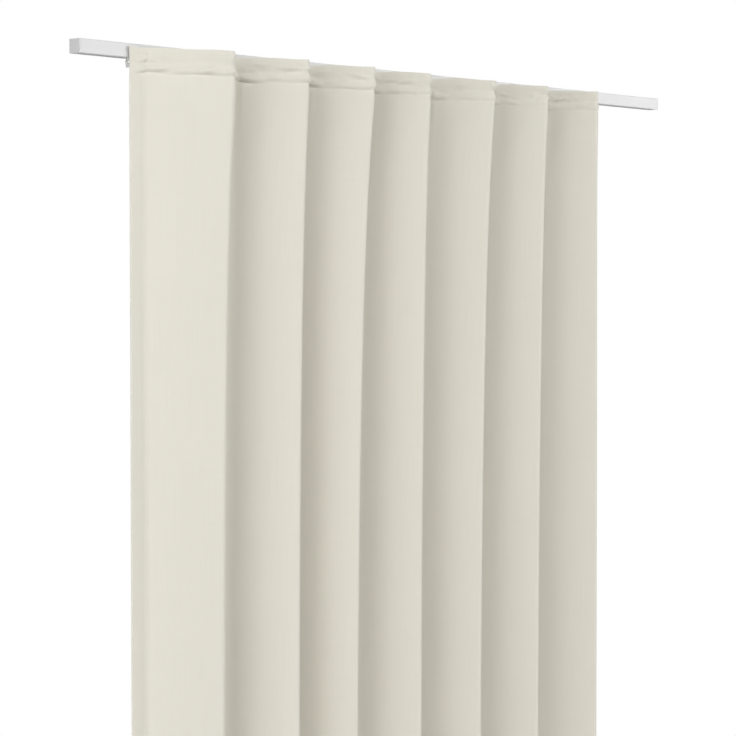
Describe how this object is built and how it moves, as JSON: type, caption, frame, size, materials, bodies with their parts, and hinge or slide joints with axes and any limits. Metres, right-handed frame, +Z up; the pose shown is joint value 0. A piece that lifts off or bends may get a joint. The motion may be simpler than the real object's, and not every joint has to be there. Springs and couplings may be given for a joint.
{
  "type": "blackout curtain",
  "caption": "Opaque beige curtain with a stitched heading, hanging in soft folds from a slim white ceiling rail by gliders and hooks.",
  "frame": {"origin": "middle of the rail's top face, where it meets the ceiling", "axes": "+X along the rail to the right as seen from the room, +Y towards the window, +Z up"},
  "size_m": [1.304, 0.0842, 2.405],
  "materials": {
    "rail_white": "satin white paint",
    "cap_white": "moulded, fine matte",
    "glider_white": "moulded, smooth",
    "hook_white": "moulded, smooth",
    "curtain_cloth": "close plain weave, matte",
    "tape_woven": "woven tape"
  },
  "bodies": {
    "rail": {"rail": "rail_white", "end_cap_left": "cap_white", "end_cap_right": "cap_white"},
    "curtain": {"curtain": "curtain_cloth", "heading_tape": "tape_woven", "glider_1": "glider_white", "hook_1": "hook_white"},
    "glider_2": {"glider_2": "glider_white", "hook_2": "hook_white"},
    "glider_3": {"glider_3": "glider_white", "hook_3": "hook_white"},
    "glider_4": {"glider_4": "glider_white", "hook_4": "hook_white"},
    "glider_5": {"glider_5": "glider_white", "hook_5": "hook_white"},
    "glider_6": {"glider_6": "glider_white", "hook_6": "hook_white"},
    "glider_7": {"glider_7": "glider_white", "hook_7": "hook_white"},
    "glider_8": {"glider_8": "glider_white", "hook_8": "hook_white"}
  },
  "joints": [
    {"name": "curtain_slide", "type": "slide", "parent": "rail", "child": "curtain", "axis": [1, 0, 0], "range_m": [-0.07, 0.18]},
    {"name": "draw", "type": "slide", "parent": "curtain", "child": "glider_8", "axis": [1, 0, 0], "range_m": [-0.727, 0], "deforming": ["curtain", "heading_tape"]},
    {"name": "glider_2_slide", "type": "slide", "parent": "curtain", "child": "glider_2", "axis": [1, 0, 0], "range_m": [-0.1328, 0]},
    {"name": "glider_3_slide", "type": "slide", "parent": "curtain", "child": "glider_3", "axis": [1, 0, 0], "range_m": [-0.2344, 0]},
    {"name": "glider_4_slide", "type": "slide", "parent": "curtain", "child": "glider_4", "axis": [1, 0, 0], "range_m": [-0.3293, 0]},
    {"name": "glider_5_slide", "type": "slide", "parent": "curtain", "child": "glider_5", "axis": [1, 0, 0], "range_m": [-0.4284, 0]},
    {"name": "glider_6_slide", "type": "slide", "parent": "curtain", "child": "glider_6", "axis": [1, 0, 0], "range_m": [-0.5303, 0]},
    {"name": "glider_7_slide", "type": "slide", "parent": "curtain", "child": "glider_7", "axis": [1, 0, 0], "range_m": [-0.6269, 0]}
  ],
  "couplings": [
    {"joint": "glider_2_slide", "follows": "draw", "ratio": 0.18264},
    {"joint": "glider_3_slide", "follows": "draw", "ratio": 0.32241},
    {"joint": "glider_4_slide", "follows": "draw", "ratio": 0.45289},
    {"joint": "glider_5_slide", "follows": "draw", "ratio": 0.58924},
    {"joint": "glider_6_slide", "follows": "draw", "ratio": 0.72942},
    {"joint": "glider_7_slide", "follows": "draw", "ratio": 0.86222}
  ]
}
